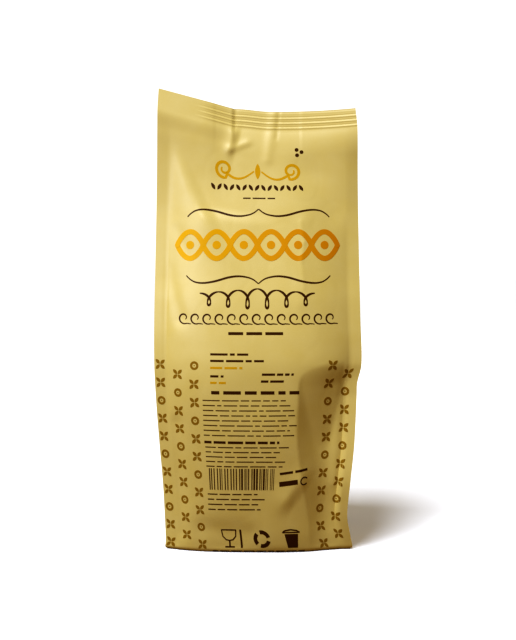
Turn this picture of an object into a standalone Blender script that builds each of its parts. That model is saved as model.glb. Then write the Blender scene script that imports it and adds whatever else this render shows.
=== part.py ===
"""A shut food bag of folded film, standing on its block base.

Four corner seals run up it as narrow fins, its sides are gussets that fold in towards the
top, and a ribbed cross seal shuts it. The seal is pinched near one end, and the lower right of
the front is dented.

Lengths are millimetres here and are turned to metres where the points are made. The front faces
-Y, the shopper's right is +X, and the bag stands on z = 0.
"""

import math

import bmesh
import bpy

METRES = 0.001

# The film and its seals
FIN_WIDTH = 6.0
FIN_THICK = 0.65
SEAL_FOOT = 205.0
SEAL_TALL = 10.0
RIB_COUNT = 4
RIB_RELIEF = 0.3
BASE_ROUND = 1.8

# Each profile is a short list of heights and values, joined by a smooth curve
CORNER_DEPTH = ((0, 28), (22, 28.6), (52, 29.6), (66, 29.9), (78, 29.7), (90, 28.9), (100, 27.2),
                (107, 25.6), (120, 21.9), (132, 17.8), (162, 8.8), (178, 4.6), (187, 2.6),
                (195, 1.4), (205, 0.95))
FRONT_BELLY = ((0, 4.2), (10, 5.6), (22, 6.6), (38, 7.6), (54, 8.4), (66, 8.7), (78, 8.8), (90, 8.6),
               (107, 8), (120, 7.7), (132, 7.3), (162, 5.1), (178, 3.1), (187, 2.1), (195, 1), (205, 0))
BACK_BELLY = ((0, 1), (14, 5.4), (42, 8.2), (66, 8.68), (100, 8), (132, 7), (162, 5),
              (187, 2.1), (205, 0))
CROWN_POWER = 2.8
LEFT_TIP = ((0, 45), (4, 44.4), (17, 44.8), (32, 45.5), (52, 47), (72, 48.3), (92, 49.2),
            (142, 49.6), (205, 49.6), (215, 49.3))
RIGHT_TIP = ((0, 46.2), (4, 45.4), (8, 44.6), (17, 43), (32, 44), (52, 46), (76, 47.2), (81, 47.4),
             (90, 49.5), (112, 49.3), (205, 49.7), (215, 49))
BACK_TIP = ((0, 45), (22, 44.5), (52, 46), (92, 48.6), (142, 49.2), (205, 49.6), (215, 49.2))
LEFT_SWEEP = ((0, 20), (52, 25), (92, 12), (205, 0))
RIGHT_SWEEP = ((0, 6), (16, -4), (40, -9), (64, -9), (78, -2), (88, 8), (140, 10), (170, 14),
               (187, 12), (205, 0))
GUSSET_FOLD = ((0, 1), (32, 2.5), (72, 6), (102, 11), (122, 15), (152, 21.5), (182, 26), (205, 28))
GUSSET_SWELL = ((0, 0.5), (27, 3), (62, 3.5), (102, 1.5), (132, 0))
GUSSET_POWER = 1.15

# The cross seal leans back in line with the sloping face. It is pinched near one end, which leaves
# a flap standing up
SEAL_LEAN = 0.3
SEAL_BEND = 13.0
PINCH_X = -12.0
FLAP_FOOT = 160.0
FLAP_RISE = 0.265
FLAP_LEAN = 1.0
FLAP_TURN = 15.0
SEAL_SAG_X = 10.0
SEAL_SAG = 0.0011
SEAL_SAG_RISE = 0.95
SEAL_DIP = 1.4
DIP_ACROSS = (-11, 7)
PINCH_STEP = 1.0
PINCH_WIDE = 1.4
PINCH_TALL = 9.0
RIBS_FADE = (-32, -20)

# The dent at the lower right of the front: its upper edge as x and z, its sides as z and x, which
# share of its slope is straight, how steeply it goes in under the upper edge, the heights where it
# fades out, and half the width of the face there
DENT_EDGE = ((17, 76), (20, 84.5), (24, 88), (33, 91), (50, 92))
DENT_LEFT = ((4, 25), (14, 24.5), (26, 22.5), (38, 20.5), (57, 18.5), (75, 19), (90, 19))
DENT_RIGHT = ((4, 36), (20, 35), (50, 36.5), (90, 37.5))
DENT_STRAIGHT = 0.4
DENT_ROUNDING = 0.5
DENT_UNDERCUT = 0.1
DENT_FADE = (-16, 36)
FACE_HALF = 42.0
# How far the corner beside it is knocked in, or stands out where the value is negative
CORNER_KNOCK = ((0, 0.6), (10, -0.2), (22, -1.2), (34, -1.9), (46, -1.2), (60, 0.2), (74, 1.0),
                (79, 0.85), (90, 0))
CORNER_REACH = (16, 37)

# Soft ridges and hollows of the film: start x z, end x z, half width, height
FRONT_FOLDS = (
    ((24, 188), (38, 164), 8, -0.8),
    ((-44, 134), (-37, 112), 3.5, -0.8),
    ((22, 158), (21, 120), 4, 0.3),
    ((-40, 62), (-38, 10), 4, -1.0),
    ((39.6, 78), (38.2, 34), 3.5, 0.8),
)
# A brow rises on one side only: start, end, how fast it rises and dies away, height
FRONT_BROWS = (
    ((-25, 163), (-39, 186), 8, 20, 2.5),
    ((-6, 160), (-21, 162), 7, 12, 0.6),
    ((16, 26), (21, 33), 7, 7, 0.9),
)
# The corner seals hold the film, so folds and brows flatten towards them by these powers
EDGE_HOLD = 12
BROW_HOLD = 5
# Heights where the folds come in above the base and die away under the seal
FOLDS_START, FOLDS_END = (0, 6), (180, 196)
# The fins of both faces run together from here up to the seal
JOIN_FOOT = 180.0
# These bend the whole flat top of the bag, front and back together
TOP_FOLDS = (
    ((8, 213), (5, 190), 2.5, 0.35),
)
TOP_BROWS = (
    ((-12.4, 194), (-10.6, 201), 4, 4, 1.2),
)
BACK_FOLDS = (
    ((-40, 188), (-16, 152), 9, 2.2),
    ((38, 190), (20, 158), 8, 1.8),
    ((-36, 94), (-8, 86), 6, -1.8),
    ((12, 76), (38, 88), 6, -1.6),
    ((40, 62), (38, 14), 4, -1.6),
    ((-39, 62), (-38, 12), 4, -1.6),
)
SIDE_FOLDS = (
    (-1, 98, 8, 1.6),
    (-1, 62, 9, -1.2),
    (1, 86, 8, -1.8),
    (1, 54, 9, 1.4),
)

# How finely the film is cut into faces
PANEL_CELLS = 26
SIDE_CELLS = 8
FIN_CELLS = 2
BODY_HEIGHTS = (0, 0.5, 1.8, 6, 12, 18, 24, 30, 36, 42, 48, 54, 60, 66, 70, 74, 77, 80, 83, 86, 89,
                93, 98, 104, 110, 117, 124, 131, 138, 145, 152, 158, 164, 170, 176, 182, 187, 191,
                195, 199, 202, 205)


def ease(t):
    """Goes smoothly from 0 to 1 as t does."""
    t = min(max(t, 0.0), 1.0)
    return t * t * (3 - 2 * t)


def part_way(value, limits):
    """Goes smoothly from 0 at the first limit to 1 at the second."""
    return ease((value - limits[0]) / (limits[1] - limits[0]))


def along(profile, z):
    """The profile's value at height z, on a smooth curve through its points."""
    if z <= profile[0][0]:
        return profile[0][1]
    if z >= profile[-1][0]:
        return profile[-1][1]
    last = len(profile) - 1
    i = max(k for k in range(last) if profile[k][0] <= z)

    def slope(k):
        low = profile[max(k - 1, 0)]
        high = profile[min(k + 1, last)]
        return (high[1] - low[1]) / (high[0] - low[0])

    (z0, v0), (z1, v1) = profile[i], profile[i + 1]
    t = (z - z0) / (z1 - z0)
    bend = (z1 - z0) * t * (1 - t)
    return v0 + (v1 - v0) * ease(t) + bend * (slope(i) * (1 - t) - slope(i + 1) * t)


def fold_height(x, z, fold):
    """How far one soft fold lifts the film at x, z."""
    (x0, z0), (x1, z1), half_width, height = fold
    run_x, run_z = x1 - x0, z1 - z0
    t = ((x - x0) * run_x + (z - z0) * run_z) / (run_x ** 2 + run_z ** 2)
    t = min(max(t, 0.0), 1.0)
    away = math.hypot(x - x0 - t * run_x, z - z0 - t * run_z)
    return height * math.exp(-(away / half_width) ** 2)


def brow_height(x, z, brow):
    """How far a brow lifts the film: a rise across its line that dies away slowly beyond it."""
    (x0, z0), (x1, z1), rise, fade, height = brow
    run_x, run_z = x1 - x0, z1 - z0
    run = math.hypot(run_x, run_z)
    t = ((x - x0) * run_x + (z - z0) * run_z) / run ** 2
    beyond = max(-t, t - 1, 0.0) * run
    across = ((z - z0) * run_x - (x - x0) * run_z) / run
    return height * ease(across / rise + 0.5) * math.exp(
        -(max(across, 0.0) / fade) ** 2 - (beyond / fade) ** 2)


def smaller(a, b, blend):
    """The smaller of two values, with the edge between them rounded off."""
    near = max(blend - abs(a - b), 0.0) / blend
    return min(a, b) - blend * near * near / 4


def belly(z, u):
    """How far the front bellies out at u, which runs from -1 to 1 across the face."""
    return along(FRONT_BELLY, z) * (1 - min(abs(u), 1.0) ** CROWN_POWER)


def dent_depth(x, z):
    """A straight slope from the belly down to the corner, under an edge that leans in."""
    below = along(DENT_EDGE, x) - z
    left, right = along(DENT_LEFT, z), along(DENT_RIGHT, z)
    if below < 0 or x < left:
        return 0.0
    t = min((x - left) / (right - left), 1.0)
    bend = max(t - DENT_STRAIGHT, 0.0)
    gone = (t - bend * bend / (2 * (1 - DENT_STRAIGHT))) * 2 / (1 + DENT_STRAIGHT)
    drop = max(belly(z, x / FACE_HALF) - belly(z, left / FACE_HALF) * (1 - gone), 0.0)
    return max(smaller(drop, DENT_UNDERCUT * below, DENT_ROUNDING), 0.0) * part_way(z, DENT_FADE)


def corner_knock(x, z):
    """How far the right corner is knocked in beside the dent."""
    return along(CORNER_KNOCK, z) * part_way(x, CORNER_REACH)


def base_inset(z):
    """How far the walls are drawn in where they turn under the base."""
    if z >= BASE_ROUND:
        return 0.0
    return BASE_ROUND - math.sqrt(BASE_ROUND ** 2 - (BASE_ROUND - z) ** 2)


def relief(x, z, folds, brows):
    """The folds of one face, which die away at the base and where the bag gets flat."""
    calm = part_way(z, FOLDS_START) * (1 - part_way(z, FOLDS_END))
    held = 1 - min(abs(x) / FACE_HALF, 1.0) ** BROW_HOLD
    folded = sum(fold_height(x, z, fold) for fold in folds)
    return calm * (folded + held * sum(brow_height(x, z, brow) for brow in brows))


def front_relief(x, z):
    return relief(x, z, FRONT_FOLDS, FRONT_BROWS)


def back_relief(x, z):
    return relief(x, z, BACK_FOLDS, ())


def front_crown(x, z, u):
    """How far the front stands out at u, with the dent taken off its belly."""
    return belly(z, u) - dent_depth(x, z)


def back_crown(x, z, u):
    """The same for the back, which is not dented."""
    return along(BACK_BELLY, z) * (1 - abs(u) ** CROWN_POWER)


def panel_chain(z, left_tip, right_tip, left_sweep, right_sweep, crown, bend):
    """One face of the bag at height z: a fin, the panel and a fin, as x and depth, left to right."""
    inset = base_inset(z)
    depth = along(CORNER_DEPTH, z) - inset
    left_root = -(left_tip - inset) + FIN_WIDTH * math.cos(left_sweep)
    right_root = right_tip - inset - FIN_WIDTH * math.cos(right_sweep)
    chain = []
    for k in range(FIN_CELLS):
        out = 1 - k / FIN_CELLS
        chain.append((left_root - out * FIN_WIDTH * math.cos(left_sweep),
                      depth - out * FIN_WIDTH * math.sin(left_sweep)))
    centre, half = (left_root + right_root) / 2, (right_root - left_root) / 2
    arc = 2 * math.atan(crown(centre, z, 0) / half)
    for k in range(PANEL_CELLS + 1):
        u = 2 * k / PANEL_CELLS - 1
        if arc > 0:
            x = centre + half * math.sin(arc * u) / math.sin(arc)
        else:
            x = centre + half * u
        chain.append((x, depth + crown(x, z, u) + (1 - abs(u) ** EDGE_HOLD) * bend(x, z)))
    for k in range(1, FIN_CELLS + 1):
        out = k / FIN_CELLS
        chain.append((right_root + out * FIN_WIDTH * math.cos(right_sweep),
                      depth - out * FIN_WIDTH * math.sin(right_sweep)))
    return chain


def front_chain(z):
    chain = panel_chain(z, along(LEFT_TIP, z), along(RIGHT_TIP, z),
                        math.radians(along(LEFT_SWEEP, z)), math.radians(along(RIGHT_SWEEP, z)),
                        front_crown, front_relief)
    return [(x, corner_knock(x, z) - depth) for x, depth in chain]


def back_chain(z):
    """The back face, left to right. Its fins meet the front's at the cross seal."""
    join = part_way(z, (JOIN_FOOT, SEAL_FOOT))
    left = along(BACK_TIP, z) * (1 - join) + along(LEFT_TIP, z) * join
    right = along(BACK_TIP, z) * (1 - join) + along(RIGHT_TIP, z) * join
    sweep = math.radians(along(LEFT_SWEEP, z))
    return panel_chain(z, left, right, sweep, sweep, back_crown, back_relief)


def side_chain(z, front, back, side):
    """The gusset on one side, front to back: the inner faces of its two fins and the folded panel."""
    if side > 0:
        front_fin, back_fin = front[-1 - FIN_CELLS:], back[-1 - FIN_CELLS:]
    else:
        front_fin, back_fin = front[:FIN_CELLS + 1][::-1], back[:FIN_CELLS + 1][::-1]
    # Each fin list now runs from its root out to its tip
    chain = [(x, y + FIN_THICK) for x, y in front_fin[:0:-1]]
    (x0, y0), (x1, y1) = front_fin[0], back_fin[0]
    y0, y1 = y0 + FIN_THICK, y1 - FIN_THICK
    fold, swell = along(GUSSET_FOLD, z), along(GUSSET_SWELL, z)
    for k in range(SIDE_CELLS + 1):
        v = 2 * k / SIDE_CELLS - 1
        t = (v + 1) / 2
        reach = swell * (1 - v * v) - fold * (1 - abs(v)) ** GUSSET_POWER
        for fold_side, fold_z, half_tall, height in SIDE_FOLDS:
            if fold_side == side:
                reach += height * math.exp(-((z - fold_z) / half_tall) ** 2) * (1 - v * v)
        chain.append((x0 + (x1 - x0) * t + side * reach, y0 + (y1 - y0) * t))
    chain += [(x, y - FIN_THICK) for x, y in back_fin[1:]]
    return chain


def rib_relief(x, z):
    """The cross seal's pressed ribs, which fade out along the flap."""
    turns = RIB_COUNT * (z - SEAL_FOOT) / SEAL_TALL
    return RIB_RELIEF * math.sin(2 * math.pi * turns) * part_way(x, RIBS_FADE)


def settled(x, y, z):
    """A point once the cross seal is pinched and its left flap stands up and leans forward."""
    grip = part_way(z, (FLAP_FOOT, SEAL_FOOT))
    flap = max(PINCH_X - x, 0.0)
    sag = SEAL_SAG * max(x - SEAL_SAG_X, 0.0) ** 2
    rise = FLAP_RISE * flap + SEAL_SAG_RISE * sag - SEAL_DIP * part_way(x, DIP_ACROSS)
    lean = FLAP_LEAN * ease(flap / FLAP_TURN) + sag
    pinch = ease((z - SEAL_FOOT) / PINCH_TALL + 1)
    step = pinch * PINCH_STEP * (1 - ease((x - PINCH_X) / PINCH_WIDE + 0.5))
    bent = sum(fold_height(x, z, fold) for fold in TOP_FOLDS)
    bent += sum(brow_height(x, z, brow) for brow in TOP_BROWS)
    above = max(z - SEAL_FOOT + SEAL_BEND, 0.0)
    turned = min(above, SEAL_BEND)
    back = SEAL_LEAN * (turned ** 2 / (2 * SEAL_BEND) + above - turned)
    return x * METRES, (y + back - bent - step - grip * lean) * METRES, (z + grip * rise) * METRES


def build_bag():
    mesh = bmesh.new()

    def points(chain, z):
        return [mesh.verts.new(settled(x, y, z)) for x, y in chain]

    def strip(low, high):
        for a, b, c, d in zip(low, low[1:], high[1:], high):
            mesh.faces.new((a, b, c, d))

    below = None
    for z in BODY_HEIGHTS:
        front, back = front_chain(z), back_chain(z)
        right, left = side_chain(z, front, back, 1), side_chain(z, front, back, -1)
        chains = [points(front, z), points(right, z), points(back[::-1], z), points(left[::-1], z)]
        ring = [point for chain in chains for point in chain]
        if below is None:
            mesh.faces.new(ring[::-1])
        else:
            strip(below + below[:1], ring + ring[:1])
        below = ring
    front_low, right_low, back_low, left_low = chains

    # The gussets end under the cross seal, whose layers are one slab
    mesh.faces.new(right_low)
    mesh.faces.new(left_low)
    ends_low = ([front_low[-1], right_low[0], right_low[-1], back_low[0]],
                [back_low[-1], left_low[0], left_low[-1], front_low[0]])
    steps = RIB_COUNT * 4
    for k in range(1, steps + 1):
        z = SEAL_FOOT + SEAL_TALL * k / steps
        front = [(x, y - rib_relief(x, z)) for x, y in front_chain(z)]
        back = [(x, y + rib_relief(x, z)) for x, y in back_chain(z)]
        front_high, back_high = points(front, z), points(back[::-1], z)
        strip(front_low, front_high)
        strip(back_low, back_high)
        for end, high in zip(ends_low, ((front_high[-1], back_high[0]), (back_high[-1], front_high[0]))):
            mesh.faces.new((*end, high[1], high[0]))
        front_low, back_low = front_high, back_high
        ends_low = ([front_low[-1], back_low[0]], [back_low[-1], front_low[0]])
    strip(front_low, back_low[::-1])

    bmesh.ops.recalc_face_normals(mesh, faces=mesh.faces)
    bmesh.ops.triangulate(mesh, faces=mesh.faces)
    data = bpy.data.meshes.new("bag")
    mesh.to_mesh(data)
    mesh.free()
    data.shade_smooth()
    data.set_sharp_from_angle(angle=math.radians(40))
    bag = bpy.data.objects.new("bag", data)
    bpy.context.collection.objects.link(bag)
    return bag


def film_material():
    """Matt golden paper-feel film."""
    material = bpy.data.materials.new("matt_film")
    material.use_nodes = True
    shader = material.node_tree.nodes["Principled BSDF"]
    shader.inputs["Base Color"].default_value = (0.68, 0.52, 0.19, 1)
    shader.inputs["Roughness"].default_value = 0.55
    shader.inputs["Metallic"].default_value = 0.0
    return material


for old in list(bpy.data.objects):
    bpy.data.objects.remove(old, do_unlink=True)

bag = build_bag()
bag.data.materials.append(film_material())
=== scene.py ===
# %% [markdown]
# A shut bag of ring crackers
#
# The object is a side-gusset bag of matt film: four corner seals, a block base, a ribbed cross
# seal and print on the film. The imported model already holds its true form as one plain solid.
# This lesson makes the fine film around that solid, prints it and lights it.
# The frame is loaded first, because every piece below has to sit where the solid is.

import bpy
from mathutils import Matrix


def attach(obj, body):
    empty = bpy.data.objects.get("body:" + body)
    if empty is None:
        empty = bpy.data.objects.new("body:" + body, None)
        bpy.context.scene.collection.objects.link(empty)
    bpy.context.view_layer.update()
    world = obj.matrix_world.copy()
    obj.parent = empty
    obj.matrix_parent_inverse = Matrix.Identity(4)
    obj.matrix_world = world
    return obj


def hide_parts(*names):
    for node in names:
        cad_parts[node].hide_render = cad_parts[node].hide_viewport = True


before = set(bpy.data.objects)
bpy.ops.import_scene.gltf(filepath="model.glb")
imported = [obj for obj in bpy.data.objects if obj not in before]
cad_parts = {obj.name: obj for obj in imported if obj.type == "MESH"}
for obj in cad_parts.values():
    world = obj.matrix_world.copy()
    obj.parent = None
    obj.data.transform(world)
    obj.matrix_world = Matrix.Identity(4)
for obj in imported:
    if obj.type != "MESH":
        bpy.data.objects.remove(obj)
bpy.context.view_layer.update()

# %% Libraries and units
import math
import random

import bmesh
import bpy
import numpy as np
from mathutils import Vector, noise

MM = 0.001
print("Blender", bpy.app.version_string)

# %% [markdown]
# Camera
#
# The photograph looks at the bag from a little above its middle, and so near that it sees the base
# from above and the top from below. The lens follows from the photograph's own scale: so many
# pixels to a millimetre at the front of the bag.

# %% Camera
# Sizes are in millimetres, and the photograph's height in its own pixels. Its scale holds for the
# front of the bag, which is this far in front of the aim
PHOTO_HEIGHT = 640
PIXELS_PER_MM = 2.12
FRONT_OF_AIM = 30.0
CAMERA_DISTANCE = 460.0
CAMERA_ELEVATION = math.radians(4)
AIM = Vector((0.25, 0, 109.2)) * MM
SENSOR_MM = 24.0
NEAREST_SEEN = 10.0

camera_data = bpy.data.cameras.new("camera")
camera_data.sensor_fit = "VERTICAL"
camera_data.sensor_height = SENSOR_MM
camera_data.lens = SENSOR_MM * PIXELS_PER_MM * (CAMERA_DISTANCE - FRONT_OF_AIM) / PHOTO_HEIGHT
camera_data.clip_start = NEAREST_SEEN * MM
camera = bpy.data.objects.new("camera", camera_data)
bpy.context.scene.collection.objects.link(camera)
back = Vector((0, -math.cos(CAMERA_ELEVATION), math.sin(CAMERA_ELEVATION)))
camera.location = AIM + back * CAMERA_DISTANCE * MM
camera.rotation_euler = (math.pi / 2 - CAMERA_ELEVATION, 0, 0)
bpy.context.scene.camera = camera
print("lens", round(camera_data.lens, 1), "mm")

# %% [markdown]
# Colours
#
# Every colour is written as the sRGB hex value that a colour picker shows. The shaders work in
# linear light, so one function turns each value to linear.

# %% Colour and node helpers
def linear(hex_colour):
    parts = [int(hex_colour[i:i + 2], 16) / 255 for i in (1, 3, 5)]
    return [v / 12.92 if v <= 0.04045 else ((v + 0.055) / 1.055) ** 2.4 for v in parts] + [1.0]


def add_node(tree, kind, settings=None, links=None):
    """Adds a node. Settings are its properties or sockets, links are sockets to feed it from."""
    node = tree.nodes.new(kind)
    for name, value in (settings or {}).items():
        if isinstance(name, int) or name in node.inputs:
            node.inputs[name].default_value = value
        else:
            setattr(node, name, value)
    for name, source in (links or {}).items():
        tree.links.new(source, node.inputs[name])
    return node


print("mid grey #808080 is", round(linear("#808080")[0], 3), "in linear light")


# %% [markdown]
# Sky and lamps
#
# The photographed bag stands cut out on white, lit from high above its front left, and hardly any
# light comes back up from below. Large lamps could do it, but a sun falls alike on the whole bag.
# From high up it makes the sloping upper face brighter than the upright lower one, and the wide
# angle that it is given keeps its shadows soft. The white sky is what the camera sees, while what
# the sky throws on to the bag is kept low and warm by the light path. Two lamps help: a small cool
# one that lifts the upper left, and a large one behind that keeps the back from going black.

# %% Sky
SKY_SEEN, SKY_LIGHT = 0.86, 0.12
SKY_WHITE, SKY_TINT = (1, 1, 1, 1), (1.0, 0.76, 0.42, 1)

scene = bpy.context.scene
scene.view_settings.view_transform = "Standard"
scene.view_settings.look = "High Contrast"
world = bpy.data.worlds.new("studio")
world.use_nodes = True
scene.world = world
tree = world.node_tree
seen = add_node(tree, "ShaderNodeBackground", {"Color": SKY_WHITE, "Strength": SKY_SEEN})
path = add_node(tree, "ShaderNodeLightPath")
lit = tree.nodes["Background"]
lit.inputs["Color"].default_value = SKY_TINT
lit.inputs["Strength"].default_value = SKY_LIGHT
both = add_node(tree, "ShaderNodeMixShader", links={
    0: path.outputs["Is Camera Ray"], 1: lit.outputs[0], 2: seen.outputs[0]})
tree.links.new(both.outputs[0], tree.nodes["World Output"].inputs["Surface"])
print("sky", SKY_SEEN, "as seen,", SKY_LIGHT, "as light")

# %% Lamps
SUN_ELEVATION = math.radians(66)
SUN_AZIMUTH = math.radians(-40)
SUN_SOFTNESS = math.radians(20)
SUN_STRENGTH = 2.16
SUN_COLOUR = (0.95, 1.005, 1.13)
# Each lamp's place, target and width are in metres, and its strength in watts
LEFT_PLACE, LEFT_TARGET = (-0.36, -0.38, 0.42), (-0.02, 0, 0.16)
LEFT_WIDE, LEFT_WATTS, LEFT_COLOUR = 0.2, 0.72, (0.98, 1.08, 1.32)
BACK_PLACE, BACK_TARGET = (0.5, 0.9, 0.7), (0, 0, 0.11)
BACK_WIDE, BACK_WATTS, BACK_COLOUR = 0.6, 4.0, (1, 1, 1)

sun_data = bpy.data.lights.new("sun", "SUN")
sun_data.energy = SUN_STRENGTH
sun_data.angle = SUN_SOFTNESS
sun_data.color = SUN_COLOUR
sun = bpy.data.objects.new("sun", sun_data)
scene.collection.objects.link(sun)
to_sun = Vector((math.sin(SUN_AZIMUTH) * math.cos(SUN_ELEVATION),
                 -math.cos(SUN_AZIMUTH) * math.cos(SUN_ELEVATION), math.sin(SUN_ELEVATION)))
sun.rotation_euler = to_sun.to_track_quat("Z", "Y").to_euler()


def soft_lamp(name, place, target, wide, watts, colour):
    data = bpy.data.lights.new(name, "AREA")
    data.shape = "SQUARE"
    data.size = wide
    data.energy = watts
    data.color = colour
    lamp = bpy.data.objects.new(name, data)
    scene.collection.objects.link(lamp)
    lamp.location = place
    lamp.rotation_euler = (Vector(target) - Vector(place)).to_track_quat("-Z", "Y").to_euler()


soft_lamp("left_lamp", LEFT_PLACE, LEFT_TARGET, LEFT_WIDE, LEFT_WATTS, LEFT_COLOUR)
soft_lamp("back_fill", BACK_PLACE, BACK_TARGET, BACK_WIDE, BACK_WATTS, BACK_COLOUR)
print("sun", SUN_STRENGTH, "and lamps of", LEFT_WATTS, "and", BACK_WATTS, "W")

# %% [markdown]
# Floor
#
# The floor is a board painted matt white. A square plane would do, but a wide disc has no corner
# that comes into a low view. Matt paint has no shine, so its specular level is nought. The camera
# sees it white, while the light that it throws back up is darker and warm.

# %% Floor
FLOOR_SEEN, FLOOR_BOUNCE = "#FFFFFF", "#886E48"
FLOOR_RADIUS = 6.0
FLOOR_SIDES = 96
PAINT_ROUGHNESS = 0.9
PAINT_SHINE = 0.0

floor_mesh = bmesh.new()
bmesh.ops.create_circle(floor_mesh, cap_ends=True, segments=FLOOR_SIDES, radius=FLOOR_RADIUS)
floor_data = bpy.data.meshes.new("floor")
floor_mesh.to_mesh(floor_data)
floor_mesh.free()
floor = bpy.data.objects.new("floor", floor_data)
scene.collection.objects.link(floor)
painted_board = bpy.data.materials.new("painted_board")
painted_board.use_nodes = True
tree = painted_board.node_tree
path = add_node(tree, "ShaderNodeLightPath")
board = add_node(tree, "ShaderNodeMix", {
    "data_type": "RGBA", 6: linear(FLOOR_BOUNCE), 7: linear(FLOOR_SEEN)},
    {0: path.outputs["Is Camera Ray"]})
paint = tree.nodes["Principled BSDF"]
tree.links.new(board.outputs[2], paint.inputs["Base Color"])
paint.inputs["Roughness"].default_value = PAINT_ROUGHNESS
paint.inputs["Specular IOR Level"].default_value = PAINT_SHINE
floor_data.materials.append(painted_board)
print("floor", 2 * FLOOR_RADIUS, "m across")

# %% [markdown]
# The bag's main sizes
#
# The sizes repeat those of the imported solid, in millimetres. A profile is a short list of heights
# and values with a smooth curve through its points: how deep the bag is at its corners, how far
# each face bellies out, where the fins end.

# %% Corner fins and base
# A fin's width and thickness, the groove along the left one, and the heights where the groove
# fades out. A real seal is about half as thick
FIN_WIDTH = 6.0
FIN_THICK = 0.42
FIN_CREASE = 0.25
CREASE_FADE = (120, 160)
# How far the edge of the base is rounded off
BASE_ROUND = 1.8
print("fins", FIN_WIDTH, "by", FIN_THICK, "mm")

# %% Profiles over the height
# How far the corners are from the middle, to the front and to the back, and how far each face
# bellies out beyond them
CORNER_DEPTH = ((0, 28), (22, 28.6), (52, 29.6), (66, 29.9), (78, 29.7), (90, 28.9), (100, 27.2),
                (107, 25.6), (120, 21.9), (132, 17.8), (162, 8.8), (178, 4.6), (187, 2.6),
                (195, 1.4), (205, 0.6))
FRONT_BELLY = ((0, 4.2), (10, 5.6), (22, 6.6), (38, 7.6), (54, 8.4), (66, 8.7), (78, 8.8), (90, 8.6),
               (107, 8), (120, 7.7), (132, 7.3), (162, 5.1), (178, 3.1), (187, 2.1), (195, 1), (205, 0))
BACK_BELLY = ((0, 1), (14, 5.4), (42, 8.2), (66, 8.68), (100, 8), (132, 7), (162, 5),
              (187, 2.1), (205, 0))
CROWN_POWER = 2.8
# How far out from the middle the fins end, and how many degrees they turn away from the face
LEFT_TIP = ((0, 45), (4, 44.4), (17, 44.8), (32, 45.5), (52, 47), (72, 48.3), (92, 49.2),
            (142, 49.6), (205, 49.6), (215, 49.3))
RIGHT_TIP = ((0, 46.2), (4, 45.4), (8, 44.6), (17, 43), (32, 44), (52, 46), (76, 47.2), (81, 47.4),
             (90, 49.5), (112, 49.3), (205, 49.7), (215, 49))
BACK_TIP = ((0, 45), (22, 44.5), (52, 46), (92, 48.6), (142, 49.2), (205, 49.6), (215, 49.2))
LEFT_SWEEP = ((0, 20), (52, 25), (92, 12), (205, 0))
RIGHT_SWEEP = ((0, 6), (16, -4), (40, -9), (64, -9), (78, -2), (88, 8), (140, 10), (170, 14),
               (187, 12), (205, 0))
# How far each gusset is folded in and swells out, and how sharp its fold is. The step that it
# makes in the cross seal lies this far from the middle
GUSSET_FOLD = ((0, 1), (32, 2.5), (72, 6), (102, 11), (122, 15), (152, 21.5), (182, 26), (205, 28))
GUSSET_SWELL = ((0, 0.5), (27, 3), (62, 3.5), (102, 1.5), (132, 0))
GUSSET_POWER = 1.15
GUSSET_EDGE_X = 21.5
print("corners reach", max(depth for _, depth in CORNER_DEPTH), "mm from the middle")

# %% Cross seal and pinch
# The seal starts at its foot and leans back in line with the sloping face, by a slope that comes
# in over the bend. The jaws press the rib next to the cut edge more lightly, and all the ribs fade
# out at the left
SEAL_FOOT = 205.0
SEAL_TALL = 10.0
SEAL_LEAN = 0.34
SEAL_BEND = 13.0
RIB_COUNT = 4
RIB_RELIEF, RIB_GROOVE = 0.22, 0.16
TOP_RIB_SHARE = 0.25
RIBS_FADE = (-32, -20)
# Left of the pinch a flap stands up: where it starts to rise, its rise and lean, and the distance
# over which it turns
PINCH_X = -12.0
FLAP_FOOT = 160.0
FLAP_RISE = 0.265
FLAP_LEAN = 1.0
FLAP_TURN = 15.0
# Right of it the seal first dips a little, and then it bends forward and up towards its right end
SEAL_DIP = 1.4
DIP_ACROSS = (-11, 7)
SEAL_SAG_X = 10.0
SEAL_SAG = 0.0011
SEAL_SAG_RISE = 0.95
# Left of the pinch the film also steps forward: how far, over what width, and from how far below
# the seal
PINCH_STEP = 1.0
PINCH_WIDE = 1.4
PINCH_TALL = 9.0
print("seal", SEAL_TALL, "mm tall with", RIB_COUNT, "ribs")

# %% Dent and corner
# The dent at the lower right of the front: its upper edge as x and z, its sides as z and x, which
# share of its slope is straight, how round the edge of that slope is, how steeply the dent goes in
# under its upper edge, the heights where it fades out, and half the width of the face there
DENT_EDGE = ((17, 76), (20, 84.5), (24, 88), (33, 91), (50, 92))
DENT_LEFT = ((4, 25), (14, 24.5), (26, 22.5), (38, 20.5), (57, 18.5), (75, 19), (90, 19))
DENT_RIGHT = ((4, 36), (20, 35), (50, 36.5), (90, 37.5))
DENT_STRAIGHT = 0.4
DENT_ROUNDING = 0.5
DENT_UNDERCUT = 0.1
DENT_FADE = (-16, 36)
FACE_HALF = 42.0
# How far the corner beside it is knocked in, or stands out where the value is negative
CORNER_KNOCK = ((0, 0.6), (10, -0.2), (22, -1.2), (34, -1.9), (46, -1.2), (60, 0.2), (74, 1.0),
                (79, 0.85), (90, 0))
CORNER_REACH = (16, 37)
print("dent from", DENT_EDGE[0][0], "mm right of the middle, under", DENT_EDGE[-1][1], "mm")

# %% [markdown]
# Folds of the film
#
# The soft ridges and hollows are what makes film look like film. Each fold is a straight run from
# one point to another with a half width and a height, and the sum of them bends the face. They
# could be sculpted, but numbers can be set against the photograph one fold at a time. The larger
# ones repeat the solid's, and the small ones are finer than the solid can hold.

# %% Folds
FRONT_FOLDS = (
    ((24, 188), (38, 164), 8, -0.8),
    ((-44, 134), (-37, 112), 3.5, -0.8),
    ((22, 158), (21, 120), 4, 0.3),
    ((-40, 62), (-38, 10), 4, -1.0),
    ((39.6, 78), (38.2, 34), 3.5, 0.8),
)
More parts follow.
